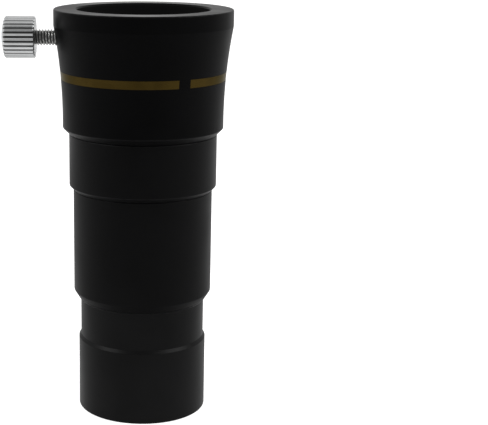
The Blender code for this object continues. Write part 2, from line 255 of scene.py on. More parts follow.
mirrored = calc(tree, "ADD", pool, calc(tree, "MAXIMUM", far_side, both_sides))
camera_ray = node(tree, "ShaderNodeLightPath").outputs["Is Camera Ray"]
glow = node(tree, "ShaderNodeEmission", Color=grey(1),
            Strength=remap(tree, camera_ray, 0.0, 1.0, mirrored, SEEN_LIGHT))
lit_paper = in_order(tree, node(tree, "ShaderNodeAddShader"), shader.outputs[0], glow.outputs[0])
from_below = node(tree, "ShaderNodeNewGeometry").outputs["Backfacing"]
under_nose = calc(tree, "LESS_THAN", from_part, OPENING_R)
is_open = calc(tree, "MAXIMUM", from_below, under_nose)
opening = node(tree, "ShaderNodeBsdfTransparent").outputs[0]
with_opening = in_order(tree, node(tree, "ShaderNodeMixShader"), is_open, lit_paper, opening)
wire(tree, with_opening, tree.nodes["Material Output"].inputs[0])
table_mesh.materials.append(table_finish)
print(f"table glow {POOL_LIGHT} round the part, {FAR_LIGHT} far behind, {SIDE_LIGHT} at the sides")

# %% Room
FRONT_SKY, BACK_SKY = 0.40, 1.05
TOP_SHARE = 0.80
FRONT_CARD = 0.45
world = bpy.data.worlds.new("white_room")
scene.world = world
world.use_nodes = True
tree = world.node_tree
tree.nodes.clear()
way = node(tree, "ShaderNodeTexCoord").outputs["Generated"]
towards = node(tree, "ShaderNodeSeparateXYZ", Vector=way).outputs
behind = remap(tree, towards["Y"], -0.9, 1.0, FRONT_SKY, BACK_SKY, "SMOOTHSTEP")
overhead = remap(tree, towards["Z"], 0.35, 0.9, 1.0, TOP_SHARE, "SMOOTHSTEP")
front_card = remap(tree, towards["Y"], -0.97, -0.80, FRONT_CARD, 0.0, "SMOOTHSTEP")
strength = calc(tree, "MULTIPLY_ADD", behind, overhead, front_card)
room_light = node(tree, "ShaderNodeBackground", Color=grey(1), Strength=strength)
seen_white = node(tree, "ShaderNodeBackground", Color=grey(1), Strength=1.0)
camera_ray = node(tree, "ShaderNodeLightPath").outputs["Is Camera Ray"]
chosen = in_order(tree, node(tree, "ShaderNodeMixShader"), camera_ray,
                  room_light.outputs[0], seen_white.outputs[0])
node(tree, "ShaderNodeOutputWorld", Surface=chosen)
print(f"{world.name}: {len(tree.nodes)} nodes")

# %% Lamps
def softbox(name, place, width, height, power):
    """An area lamp at a place, turned towards the part, unseen by the camera itself."""
    lamp_data = bpy.data.lights.new(name, "AREA")
    lamp_data.shape = "RECTANGLE"
    lamp_data.size = width
    lamp_data.size_y = height
    lamp_data.energy = power
    lamp = bpy.data.objects.new(name, lamp_data)
    lamp.location = place
    lamp.rotation_mode = "QUATERNION"
    lamp.rotation_quaternion = (PART_MIDDLE - Vector(place)).to_track_quat("-Z", "Y")
    lamp.visible_camera = False
    scene.collection.objects.link(lamp)
    return lamp


PART_MIDDLE = Vector((0, 0, 0.06))
softbox("lamp_above", (0.0, 0.10, 0.75), width=0.9, height=0.7, power=0.4)
softbox("lamp_left", (-0.57, -0.20, 0.50), width=0.35, height=0.40, power=3.0)
softbox("lamp_right", (0.57, -0.20, 0.50), width=0.35, height=0.40, power=3.6)

# %% [markdown]
# # Marks that several finishes share
# Three things show on nearly every turned metal piece: the fine rings that the cutting tool leaves,
# the faint cloudy marks of handling, and edges that lose a little of their colour. Each is a small
# node group, so that every finish can use it with its own values. The rings follow the sum of the
# height and the distance from the axis: on a wall the distance stays the same and on a flat face
# the height does, so one formula draws rings on both. A fourth group marks the inside of a tube,
# which is left a matt dark grey so that it doesn't throw stray light into the eyepiece.

# %% Group: tool rings
VECTOR, NUMBER = "NodeSocketVector", "NodeSocketFloat"


def new_tree(kind, name, inputs, outputs):
    """An empty node tree with named sockets, what it is given and where its results go."""
    tree = bpy.data.node_groups.new(name, kind)
    for in_out, sockets in (("INPUT", inputs), ("OUTPUT", outputs)):
        for label, socket_type in sockets.items():
            tree.interface.new_socket(name=label, in_out=in_out, socket_type=socket_type)
    return tree, tree.nodes.new("NodeGroupInput").outputs, tree.nodes.new("NodeGroupOutput").inputs


def height_and_radius(tree, place):
    """How high a place is, and how far from the Z axis."""
    at = node(tree, "ShaderNodeSeparateXYZ", Vector=place).outputs
    flat = node(tree, "ShaderNodeCombineXYZ", X=at["X"], Y=at["Y"]).outputs[0]
    across = node(tree, "ShaderNodeVectorMath", {"operation": "LENGTH"}, Vector=flat)
    return at["Z"], across.outputs["Value"]


tool_rings, given, result = new_tree(
    "ShaderNodeTree", "tool_rings", {"Place": VECTOR, "Spacing": NUMBER}, {"Height": NUMBER})
height, across = height_and_radius(tool_rings, given["Place"])
along = calc(tool_rings, "ADD", height, across)
step = calc(tool_rings, "DIVIDE", along, given["Spacing"])
rings = node(tool_rings, "ShaderNodeTexNoise", {"noise_dimensions": "1D"},
             W=step, Scale=1.0, Detail=3.0)
wire(tool_rings, rings.outputs[0], result["Height"])
print(f"{tool_rings.name}: {len(tool_rings.nodes)} nodes")

# %% Group: handling marks
handling, given, result = new_tree(
    "ShaderNodeTree", "handling_marks", {"Place": VECTOR, "Size": NUMBER},
    {"Cloud": NUMBER, "Grain": NUMBER})
scale = calc(handling, "DIVIDE", 1.0, given["Size"])
cloud = node(handling, "ShaderNodeTexNoise", Vector=given["Place"], Scale=scale,
             Detail=4.0, Roughness=0.55, Distortion=0.4)
cloudy = remap(handling, cloud.outputs[0], 0.3, 0.7, 0.0, 1.0, "SMOOTHSTEP")
wire(handling, cloudy, result["Cloud"])
grain = node(handling, "ShaderNodeTexNoise", Vector=given["Place"], Scale=9000.0, Detail=2.0)
wire(handling, grain.outputs[0], result["Grain"])
print(f"{handling.name}: {len(handling.nodes)} nodes")

# %% Group: worn edges
worn_edges, given, result = new_tree(
    "ShaderNodeTree", "worn_edges", {"Place": VECTOR, "Amount": NUMBER}, {"Mask": NUMBER})
edge = node(worn_edges, "ShaderNodeAttribute", {"attribute_name": "edge"}).outputs["Fac"]
patchy = node(worn_edges, "ShaderNodeTexNoise", Vector=given["Place"], Scale=900.0, Detail=5.0)
patch = remap(worn_edges, patchy.outputs[0], 0.35, 0.70, 0.15, 1.0)
worn = calc(worn_edges, "MULTIPLY", edge, patch)
wire(worn_edges, calc(worn_edges, "MULTIPLY", worn, given["Amount"]), result["Mask"])
print(f"{worn_edges.name}: {len(worn_edges.nodes)} nodes")

# %% Group: bore
bore, given, result = new_tree(
    "ShaderNodeTree", "bore", {"Place": VECTOR, "Radius": NUMBER, "Foot": NUMBER}, {"Mask": NUMBER})
height, across = height_and_radius(bore, given["Place"])
inside = calc(bore, "LESS_THAN", across, given["Radius"])
above = calc(bore, "GREATER_THAN", height, given["Foot"])
wire(bore, calc(bore, "MULTIPLY", inside, above), result["Mask"])


def use_group(tree, group, **inputs):
    """Place a shared group in a material, with its own values."""
    made = tree.nodes.new("ShaderNodeGroup")
    made.node_tree = group
    feed(tree, made, **inputs)
    return made.outputs


print("shared groups:", [g.name for g in bpy.data.node_groups])

# %% [markdown]
# # Finishes
# The barrel is aluminium, bead-fine from the lathe and anodised satin black. Anodising is a porous
# oxide layer full of dye, so it reflects less than paint does, and the tool's rings stretch every
# highlight across them: that is anisotropy, with the tangent running round the axis. The inside and
# the ring are a duller black. The bevel at the tube's foot looks down at the table, which glows more
# here than a real one does, so it is told to reflect less. The stripe is dark gold, the knob bright
# nickel, the screw plain plated steel, the lenses coated glass, and the screw's soft tip nylon.

# %% Black finishes
RING_DEPTH = 0.004 * MM
BORE_EDGE = 0.03 * MM
BORE_ROUGHNESS = 0.95
FOOT_BEVEL = 1.85 * MM
BEVEL_SHARE = 0.4
BARE_EDGE = (0.05, 0.05, 0.052, 1)


def black_anodising(name, shade, dull, specular, rings_deep=0.35, stretch=0.55,
                    inside=None, bevel=None):
    """Black oxide on turned metal. A bore is given by radius, foot and grey, a bevel by height."""
    material, tree, shader, place = new_material(name)
    marks = use_group(tree, handling, Place=place, Size=14 * MM)
    rings = use_group(tree, tool_rings, Place=place, Spacing=0.09 * MM)
    worn = use_group(tree, worn_edges, Place=place, Amount=0.12)
    dark = tuple(c * 0.8 for c in shade) + (1,)
    light = tuple(c * 1.3 for c in shade) + (1,)
    colour = blend_colours(tree, marks["Cloud"], dark, light)
    rough = remap(tree, marks["Cloud"], 0.0, 1.0, dull - 0.03, dull + 0.04)
    if inside:
        radius, foot, level = inside
        in_bore = use_group(tree, bore, Place=place, Radius=radius, Foot=foot)["Mask"]
        colour = blend_colours(tree, in_bore, colour, grey(level))
        rough = remap(tree, in_bore, 0.0, 1.0, rough, BORE_ROUGHNESS)
    relief = calc(tree, "MULTIPLY_ADD", marks["Grain"], 0.5, rings["Height"])
    bump = node(tree, "ShaderNodeBump", Strength=rings_deep, Distance=RING_DEPTH, Height=relief)
    if bevel:
        height = node(tree, "ShaderNodeSeparateXYZ", Vector=place).outputs["Z"]
        on_bevel = calc(tree, "LESS_THAN", height, bevel)
        specular = remap(tree, on_bevel, 0.0, 1.0, specular, BEVEL_SHARE * specular)
    around = node(tree, "ShaderNodeTangent", {"direction_type": "RADIAL", "axis": "Z"})
    feed(tree, shader, Base_Color=blend_colours(tree, worn["Mask"], colour, BARE_EDGE),
         Roughness=rough, Normal=bump.outputs[0], Specular_IOR_Level=specular,
         Anisotropic=stretch, Tangent=around.outputs[0])
    return material


# The tube's and the nose's blacks are painted lighter than the collar's: painted light, a
# brightening towards the bottom that stands in for the light the table throws up.
black = black_anodising("black_anodising", (0.0009, 0.0009, 0.0010), dull=0.34, specular=0.038,
                        inside=(socket_r + BORE_EDGE, rim - 17.5 * MM, 0.006))
tube_black = black_anodising("tube_black", (0.0013, 0.0013, 0.0014), dull=0.35, specular=0.055,
                             inside=(socket_r - 0.8 * MM, tube_foot + 3 * MM, 0.03),
                             bevel=tube_foot + FOOT_BEVEL)
nose_black = black_anodising("nose_black", (0.0026, 0.0026, 0.0027), dull=0.36, specular=0.060,
                             inside=(passage_r + BORE_EDGE, ring_high.z, 0.03))
matt_black = black_anodising("matt_black", (0.0022, 0.0022, 0.0023), dull=0.5, specular=0.08,
                             rings_deep=0.5, stretch=0.0)
print("blacks:", ", ".join(m.name for m in (black, tube_black, nose_black, matt_black)))

# %% Stripe finish
GOLD_DARK, GOLD_LIGHT = (0.0355, 0.0228, 0.0048, 1), (0.046, 0.0300, 0.0064, 1)
GOLD_EDGE = (0.62, 0.61, 0.55, 1)
gold, tree, shader, place = new_material("dark_gold")
marks = use_group(tree, handling, Place=place, Size=5 * MM)
rings = use_group(tree, tool_rings, Place=place, Spacing=0.07 * MM)
bump = node(tree, "ShaderNodeBump", Strength=0.3, Distance=RING_DEPTH, Height=rings["Height"])
feed(tree, shader, Base_Color=blend_colours(tree, marks["Cloud"], GOLD_DARK, GOLD_LIGHT),
     Metallic=0.95, Specular_Tint=GOLD_EDGE, Normal=bump.outputs[0],
     Roughness=remap(tree, rings["Height"], 0.2, 0.8, 0.26, 0.38))
print(f"{gold.name}: {len(tree.nodes)} nodes")

# %% Metal of the thumbscrew
def plated_metal(name, bright, hollow_colour, dull, undarkened_to, black_from):
    """Plated metal painted darker in its hollows, between two depths of the hollow."""
    material, tree, shader, place = new_material(name)
    marks = use_group(tree, handling, Place=place, Size=3 * MM)
    hollow = node(tree, "ShaderNodeAttribute", {"attribute_name": "hollow"}).outputs["Fac"]
    dull_bright = tuple(c * 0.9 for c in bright[:3]) + (1,)
    colour = blend_colours(tree, marks["Cloud"], bright, dull_bright)
    hollow_darkening = remap(tree, hollow, undarkened_to, black_from, 0.0, 0.95, "SMOOTHSTEP")
    rough = remap(tree, marks["Cloud"], 0, 1, dull, dull + 0.08)
    round_screw = node(tree, "ShaderNodeMapping", Vector=place, Location=(-screw_height, 0, 0),
                       Rotation=(0, math.radians(90), 0)).outputs[0]
    rings = use_group(tree, tool_rings, Place=round_screw, Spacing=0.11 * MM)
    bump = node(tree, "ShaderNodeBump", Strength=0.12, Distance=RING_DEPTH, Height=rings["Height"])
    feed(tree, shader, Base_Color=blend_colours(tree, hollow_darkening, colour, hollow_colour), Metallic=1.0,
         Roughness=calc(tree, "MULTIPLY_ADD", hollow_darkening, 0.25, rough), Normal=bump.outputs[0])
    return material


nickel = plated_metal("bright_nickel", (0.55, 0.558, 0.560, 1), hollow_colour=(0.055, 0.055, 0.054, 1),
                      dull=0.18, undarkened_to=0.25, black_from=0.80)
# On the steel the darkening is a painted shade: it darkens the thread roots and the neck under the
# knob, where shadow falls.
steel = plated_metal("screw_steel", (0.56, 0.56, 0.55, 1), hollow_colour=(0.02, 0.02, 0.019, 1),
                     dull=0.22, undarkened_to=0.70, black_from=1.0)
print("plated metals:", nickel.name, steel.name)

# %% Glass and nylon
CLEAR, CLEARER = (0.965, 0.985, 0.975, 1), (0.985, 0.995, 0.99, 1)
COATING = (0.13, 0.20, 0.18, 1)
glass, tree, shader, place = new_material("coated_glass")
marks = use_group(tree, handling, Place=place, Size=4 * MM)
feed(tree, shader, Base_Color=blend_colours(tree, marks["Cloud"], CLEAR, CLEARER),
     Roughness=remap(tree, marks["Cloud"], 0.0, 1.0, 0.0, 0.012), IOR=1.52,
     Transmission_Weight=1.0, Specular_Tint=COATING)

NYLON_DARK, NYLON_LIGHT = (0.66, 0.64, 0.57, 1), (0.72, 0.70, 0.64, 1)
nylon, tree, shader, place = new_material("natural_nylon")
marks = use_group(tree, handling, Place=place, Size=1.5 * MM)
feed(tree, shader, Base_Color=blend_colours(tree, marks["Cloud"], NYLON_DARK, NYLON_LIGHT),
     Roughness=remap(tree, marks["Grain"], 0.2, 0.8, 0.42, 0.58), Subsurface_Weight=0.2,
     Subsurface_Radius=(0.4 * MM, 0.35 * MM, 0.3 * MM))
print("finishes:", [m.name for m in bpy.data.materials if m.users])

# %% [markdown]
# # Turning an outline
# Every tube here is a lathe piece: an outline in radius and height, carried round the axis. Real
# turned corners are never knife-sharp, and the tiny round is what draws a thin line of light along
# an edge. So each corner of an outline may carry a rounding radius. Two extra points hold the
# straight runs beside a round, because smooth shading would otherwise bend the light far into the
# flat. The points of a tight round also carry the attribute that the worn edges read.

# %% Round the corners of an outline
ROUND_STEPS = 4
HOLD = 0.06 * MM
MOST_REACH, MOST_HOLD = 0.4, 0.1
BLUNT = math.radians(70)


def rounded(corners):
    """Points (radius, height, edge) of a closed outline, from corners (radius, height, rounding)."""
    points = []
    count = len(corners)
    for i, (r, z, rounding) in enumerate(corners):
        corner = Vector((r, z))
        before = Vector(corners[i - 1][:2]) - corner
        after = Vector(corners[(i + 1) % count][:2]) - corner
        if rounding == 0:
            points.append((r, z, 0.0))
            continue
        back, on = before.normalized(), after.normalized()
        half = before.angle(after) / 2
        wear = 1.0 if half < BLUNT else 0.0
        shorter = min(before.length, after.length)
        reach = min(rounding / math.tan(half), MOST_REACH * shorter)
        true_round = reach * math.tan(half)
        first = corner + back * reach
        last = corner + on * reach
        centre = corner + (back + on).normalized() * (true_round / math.sin(half))
        hold = min(HOLD, MOST_HOLD * shorter)
        points.append((*(first + back * hold), 0.0))
        for k in range(ROUND_STEPS + 1):
            spoke = (first - centre).lerp(last - centre, k / ROUND_STEPS)
            on_round = centre + spoke.normalized() * true_round
            points.append((*on_round, wear if 0 < k < ROUND_STEPS else 0.5 * wear))
        points.append((*(last + on * hold), 0.0))
    return points


square = [(1, 0, 0.1), (2, 0, 0.1), (2, 1, 0.1), (1, 1, 0.1)]
print("a square with four rounded corners has", len(rounded(square)), "points")

# %% Turn an outline into a mesh
TURN_STEPS = 192
SHARP = math.radians(32)
SAME_POINT = 0.0005 * MM


def mesh_from(name, bm, material):
    """Close the seams, point the faces outwards, and make an object of a bmesh."""
    bmesh.ops.remove_doubles(bm, verts=bm.verts, dist=SAME_POINT)
    bmesh.ops.recalc_face_normals(bm, faces=bm.faces)
    for face in bm.faces:
        face.smooth = True
    mesh = bpy.data.meshes.new(name)
    bm.to_mesh(mesh)
    bm.free()
    mesh.set_sharp_from_angle(angle=SHARP)
    mesh.materials.append(material)
    piece = bpy.data.objects.new(name, mesh)
    scene.collection.objects.link(piece)
    return piece


def turned(name, outlines, angles, material, closed=True):
    """Carry outlines, one for each angle, round the Z axis and join them."""
    bm = bmesh.new()
    edge = bm.verts.layers.float.new("edge")
    rows = []
    for outline, angle in zip(outlines, angles):
        row = []
        for r, z, wear in outline:
            vert = bm.verts.new((r * math.cos(angle), r * math.sin(angle), z))
            vert[edge] = wear
            row.append(vert)
        rows.append(row)
    pairs = list(zip(rows, rows[1:]))
    if closed:
        pairs.append((rows[-1], rows[0]))
    count = len(rows[0])
    for row, following in pairs:
        for i in range(count):
            j = (i + 1) % count
            bm.faces.new((row[i], row[j], following[j], following[i]))
    if not closed:
        bm.faces.new(rows[0])
        bm.faces.new(rows[-1])
    return mesh_from(name, bm, material)


def full_turn(steps):
    """Angles evenly round the axis."""
    return [2 * math.pi * i / steps for i in range(steps)]


def turned_evenly(name, corners, material, steps=TURN_STEPS):
    """A piece with the same outline all round."""
    return turned(name, [rounded(corners)] * steps, full_turn(steps), material)


def keep(piece, body, nodes):
    """Attach a finished piece to the empty of its body, and hide the CAD nodes that it stands for.
    """
    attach(piece, body)
    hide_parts(*nodes)
    triangles = sum(len(p.vertices) - 2 for p in piece.data.polygons)
    print(f"{piece.name}: {triangles} triangles, rides on {body}")


print(f"{TURN_STEPS} steps round, edges sharp above {math.degrees(SHARP):.0f} degrees")

# %% [markdown]
# # The flared collar
# The collar takes the eyepiece. Its outside sweeps out to the lip in one slow hollow curve, an arc
# that leaves the straight foot without a corner. A shallow groove for the gold stripe runs round it
# and stops at one short break, so the outline isn't the same at every angle: inside the break the
# groove's points lie on the flare. The cross hole for the thumbscrew is cut afterwards.

# %% Shape of the flare and of the stripe
FLARE_FOOT = collar_foot + 3.25 * MM
FLARE_TOP = rim - 3.95 * MM
STRIPE_TOP = rim - 14.62 * MM
STRIPE_FOOT = STRIPE_TOP - 2.05 * MM
STRIPE_DEPTH = 0.4 * MM
STRIPE_BREAK = 2.9 * MM
STRIPE_BREAK_AT = math.radians(-61.5)
STRIPE_CLEAR = 0.2 * MM
GROOVE_DRAFT = 0.001 * MM
FLARE_STEPS = 40
flare_rise = FLARE_TOP - FLARE_FOOT
flare_round = (flare_rise ** 2 + (lip_r - collar_r) ** 2) / (2 * (lip_r - collar_r))


def flare_r(height):
    """Radius of the hollow curve at a height."""
    rise = min(max(height - FLARE_FOOT, 0.0), flare_rise)
    return collar_r + flare_round - math.sqrt(flare_round ** 2 - rise ** 2)


half_break = STRIPE_BREAK / 2 / flare_r(STRIPE_FOOT)
print(f"flare arc {flare_round / MM:.1f} mm, break {math.degrees(2 * half_break):.1f} degrees")

# %% Collar
def collar_corners(has_groove):
    """The collar's outline, with the stripe's groove or without it."""
    joint_r = band_r - 0.73 * MM
    joint_top = collar_foot + 6.85 * MM
    heights = [FLARE_TOP - flare_rise * i / FLARE_STEPS for i in range(FLARE_STEPS + 1)]
    above = [(flare_r(z), z, 0) for z in heights if z > STRIPE_TOP + STRIPE_CLEAR]
    below = [(flare_r(z), z, 0) for z in heights if z < STRIPE_FOOT - STRIPE_CLEAR]
    floor = flare_r(STRIPE_FOOT) - STRIPE_DEPTH
    floor_top = floor if has_groove else flare_r(STRIPE_TOP)
    floor_foot = floor if has_groove else flare_r(STRIPE_FOOT)
    groove = [
        (flare_r(STRIPE_TOP), STRIPE_TOP, 0),
        (floor_top, STRIPE_TOP - GROOVE_DRAFT, 0),
        (floor_foot, STRIPE_FOOT + GROOVE_DRAFT, 0),
        (flare_r(STRIPE_FOOT), STRIPE_FOOT, 0),
    ]
    return [
        (lip_r, rim, 0.3 * MM),
        (lip_r, FLARE_TOP, 0.5 * MM),
        *above[1:],
        *groove,
        *below,
        (collar_r, collar_foot + 1.5 * MM, 0.25 * MM),
        (band_r, collar_foot, 0.05 * MM),
        (joint_r, collar_foot, 0),
        (joint_r, joint_top, 0),
        (socket_r, joint_top, 0),
        (socket_r, rim - 0.4 * MM, 0.1 * MM),
        (socket_r + 0.4 * MM, rim, 0.1 * MM),
    ]


grooved = rounded(collar_corners(True))
plain = rounded(collar_corners(False))
angles = full_turn(TURN_STEPS)
SLIT = math.radians(0.01)
for side in (-1, 1):
    end_of_stripe = STRIPE_BREAK_AT + side * half_break
    angles += [(end_of_stripe + offset) % (2 * math.pi) for offset in (-SLIT, SLIT)]
angles.sort()
from_break = [abs((a - STRIPE_BREAK_AT + math.pi) % (2 * math.pi) - math.pi) for a in angles]
outlines = [plain if gap < half_break else grooved for gap in from_break]
collar = turned("flared_collar", outlines, angles, black)
print("collar outline points:", len(grooved))

# %% [markdown]
# # Cutting holes
# The cross hole is a plain drilled hole with a small countersink. A Boolean is the modelling word
# for what a drill does: the cutter's volume is taken out of the piece. Its result is then made a
# plain mesh, because the frame wants finished pieces without live modifiers.

# %% Cutting helpers
def settle(piece):
    """Make what the modifiers give a plain mesh, and remove the modifiers."""
    depsgraph = bpy.context.evaluated_depsgraph_get()
    finished = bpy.data.meshes.new_from_object(
        piece.evaluated_get(depsgraph), preserve_all_data_layers=True, depsgraph=depsgraph)
    piece.modifiers.clear()
    rough = piece.data
    piece.data = finished
    bpy.data.meshes.remove(rough)
    finished.name = piece.name
    finished.set_sharp_from_angle(angle=SHARP)


def cut(piece, cutter):
    """Take a cutter's volume out of a piece."""
    boolean = piece.modifiers.new("cut", "BOOLEAN")
    boolean.operation = "DIFFERENCE"
    boolean.solver = "EXACT"
    boolean.object = cutter
    settle(piece)
    bpy.data.objects.remove(cutter)


print("collar before its hole:", len(collar.data.polygons), "faces")

# %% Cross hole in the collar
CUTTER_TOP = 26 * MM
CUTTER_STEPS = 48
COUNTERSINK = 0.35 * MM
stud_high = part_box("thumbscrew_stud")[1]
tip_low, tip_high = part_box("thumbscrew_tip")
screw_place = Matrix.Translation((0, 0, screw_height)) @ Matrix.Rotation(math.radians(-90), 4, "Y")
stud_r = stud_high.y
hole_r = stud_r + 0.15 * MM
hole = turned_evenly("hole_cutter", [
    (0, CUTTER_TOP, 0),
    (hole_r + COUNTERSINK + CUTTER_TOP - lip_r, CUTTER_TOP, 0),
    (hole_r, lip_r - COUNTERSINK, 0),
    (hole_r, socket_r - 1.0 * MM, 0),
    (0, socket_r - 1.0 * MM, 0),
], black, steps=CUTTER_STEPS)
hole.data.transform(screw_place)
cut(collar, hole)
keep(collar, "barrel", ["eyepiece_holder"])

# %% [markdown]
# # The gold stripe
# The stripe is a ring of dark gold that fills its groove almost flush, with two square ends at the
# break. It is the same turning as before, only carried part of the way round and closed at its ends.

# %% Stripe
STRIPE_GAP = 0.04 * MM
STRIPE_STEPS = 180
STRIPE_BELOW_FLUSH = 0.02 * MM
stripe_top, stripe_foot = STRIPE_TOP - STRIPE_GAP, STRIPE_FOOT + STRIPE_GAP
stripe_floor = flare_r(STRIPE_FOOT) - STRIPE_DEPTH + STRIPE_GAP
stripe_outline = [
    (flare_r(z) - STRIPE_BELOW_FLUSH, z, 0.0)
    for z in (stripe_top, (STRIPE_TOP + STRIPE_FOOT) / 2, stripe_foot)
]
stripe_outline += [(stripe_floor, stripe_foot, 0.0), (stripe_floor, stripe_top, 0.0)]
half_left_out = half_break + STRIPE_GAP / collar_r
first = STRIPE_BREAK_AT + half_left_out
sweep = 2 * math.pi - 2 * half_left_out
angles = [first + sweep * i / STRIPE_STEPS for i in range(STRIPE_STEPS + 1)]
stripe = turned("gold_stripe", [stripe_outline] * len(angles), angles, gold, closed=False)
keep(stripe, "barrel", ["gold_band"])

# %% [markdown]
# # Body tube and nose
# The tube screws into the collar above and takes the nose below. Where two turned parts meet, each
# has a broken edge, and the edge that faces up catches a hair of light all round: the photograph
# shows such a line under the collar and under the band. The nose has the long groove that stops it
# from slipping out of a focuser.

# %% Body tube
SEAM = 0.12 * MM
spigot_r = band_r - 0.83 * MM
nose_joint_r = nose_r - 0.9 * MM
socket_floor = rim - 30.65 * MM
spigot_top = collar_foot + 6.8 * MM
joint_end = nose_shoulder + 6.55 * MM
tube = turned_evenly("body_tube_dressed", [
    (spigot_r, spigot_top, 0),
    (spigot_r, band_top, 0),
    (band_r, band_top, 0.32 * MM),
    (band_r, band_foot + 0.99 * MM, 0.2 * MM),
    (tube_r - SEAM, band_foot - SEAM, 0.03 * MM),
    (tube_r, band_foot - 2 * SEAM, 0.06 * MM),
    (tube_r, tube_foot + FOOT_BEVEL, 0.5 * MM),
    (nose_r, tube_foot, 0.02 * MM),
    (nose_joint_r + 0.1 * MM, tube_foot, 0),
    (nose_joint_r + 0.1 * MM, joint_end, 0),
    (passage_r, joint_end, 0),
    (passage_r, socket_floor - 0.15 * MM, 0),
    (passage_r + 0.15 * MM, socket_floor, 0),
    (socket_r - 0.8 * MM, socket_floor, 0.5 * MM),
    (socket_r, socket_floor + 1.0 * MM, 0),
    (socket_r, spigot_top, 0),
], tube_black)
keep(tube, "barrel", ["body_tube"])

# %% Nose
THREAD_MINOR = 13.95 * MM
THREAD_MAJOR = 14.27 * MM
GROOVE_FOOT, GROOVE_TAPER_TOP = 18.0 * MM, 18.8 * MM
ring_seat = ring_high.z + 0.025 * MM
seat_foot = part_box("rear_lens")[1].z + 0.05 * MM
seat_top = seat_foot + 1.5 * MM
neck_r = nose_r - 0.525 * MM
nose = turned_evenly("nose_dressed", [
    (nose_joint_r, nose_high.z, 0.2 * MM),
    (nose_joint_r, nose_shoulder, 0),
    (nose_r, nose_shoulder, 0.03 * MM),
    (neck_r, nose_shoulder - 0.5 * MM, 0.15 * MM),
    (neck_r, GROOVE_TAPER_TOP, 0.12 * MM),
    (nose_r, GROOVE_FOOT, 0.12 * MM),
    (nose_r, 0, 0.32 * MM),
    (THREAD_MAJOR + 0.15 * MM, 0, 0.05 * MM),
    (THREAD_MINOR, 0.47 * MM, 0),
    (THREAD_MINOR, ring_low.z - 0.2 * MM, 0),
    (ring_r + 0.1 * MM, ring_low.z - 0.2 * MM, 0),
    (ring_r + 0.1 * MM, ring_seat, 0),
    (lens_r + 0.1 * MM, ring_seat, 0),
    (lens_r + 0.1 * MM, seat_foot, 0),
    (aperture_r, seat_foot, 0),
    (aperture_r, seat_top, 0.1 * MM),
    (passage_r, seat_top, 0),
    (passage_r, nose_high.z, 0.1 * MM),
], nose_black)
print(f"nose wall at the thread {(nose_r - THREAD_MAJOR) / MM:.2f} mm")

# %% [markdown]
# # Shapes that follow a rule: Geometry Nodes
# A knurl and a thread are both a round bar whose radius follows a rule. The knurl's radius depends
# on the angle, the thread's on the angle and the height together. Geometry Nodes suit that: a flat
# grid is one unrolled bar, each of its points reads its own share of the turn and of the length, and
# a few Math nodes give the radius. The grid is then rolled up and its seam is merged. The first and
# the last row are drawn in to the axis, which closes the two ends.

# %% An unrolled bar and how it is rolled up
def unrolled_bar(tree, columns, rows):
    """A unit grid, and for each point its share of the turn, share of the length, and end flag."""
    do = partial(calc, tree)
    grid = node(tree, "GeometryNodeMeshGrid", Size_X=1.0, Size_Y=1.0,
                Vertices_X=do("ADD", columns, 1.0), Vertices_Y=do("ADD", rows, 2.0))
    position = node(tree, "GeometryNodeInputPosition").outputs[0]
    at = node(tree, "ShaderNodeSeparateXYZ", Vector=position).outputs
    turn = do("ADD", at["X"], 0.5)
    last_line = do("ADD", rows, 1.0)
    line = do("MULTIPLY", do("ADD", at["Y"], 0.5), last_line)
    share = do("DIVIDE", do("SUBTRACT", line, 1.0), do("SUBTRACT", rows, 1.0), clamp=True)
    from_end = do("MINIMUM", line, do("SUBTRACT", last_line, line))
    not_end = do("MULTIPLY", from_end, 1.0, clamp=True)
    return grid.outputs["Mesh"], turn, share, not_end


def rolled_up(tree, mesh, turn, radius, height, hollow, finish):
    """Store how deep each point lies, roll the grid round Z, close it and set its finish."""
    do = partial(calc, tree)
    stored = node(tree, "GeometryNodeStoreNamedAttribute", {"data_type": "FLOAT", "domain": "POINT"},
                  Geometry=mesh, Name="hollow", Value=hollow)
    angle = do("MULTIPLY", turn, 2 * math.pi)
    rolled = node(tree, "ShaderNodeCombineXYZ", X=do("MULTIPLY", radius, do("COSINE", angle)),
                  Y=do("MULTIPLY", radius, do("SINE", angle)), Z=height).outputs[0]
    placed = node(tree, "GeometryNodeSetPosition", Geometry=stored.outputs[0], Position=rolled)
    closed = node(tree, "GeometryNodeMergeByDistance", Geometry=placed.outputs[0],
                  Distance=SAME_POINT)
    smooth = node(tree, "GeometryNodeSetShadeSmooth", Geometry=closed.outputs[0])
    real = node(tree, "GeometryNodeRealizeInstances", Geometry=smooth.outputs[0])
    finished = node(tree, "GeometryNodeSetMaterial", Geometry=real.outputs[0], Material=finish)
    return finished.outputs[0]


def run_tree(piece, tree, values):
    """Run a tree on a piece with these inputs, and keep the result as a plain mesh."""
    modifier = piece.modifiers.new(tree.name, "NODES")
    modifier.node_group = tree
    for socket in tree.interface.items_tree:
        key = socket.name.replace(" ", "_").lower()
        if socket.in_out == "INPUT" and key in values:
            modifier[socket.identifier] = values[key]
    settle(piece)


def made_by(tree, name, **values):
    """Run a tree on an empty mesh, and point the faces of the result outwards."""
    piece = bpy.data.objects.new(name, bpy.data.meshes.new(name))
    scene.collection.objects.link(piece)
    run_tree(piece, tree, values)
    bm = bmesh.new()
    bm.from_mesh(piece.data)
    bmesh.ops.recalc_face_normals(bm, faces=bm.faces)
    bm.to_mesh(piece.data)
    bm.free()
    return piece


print("node trees so far:", len(bpy.data.node_groups))

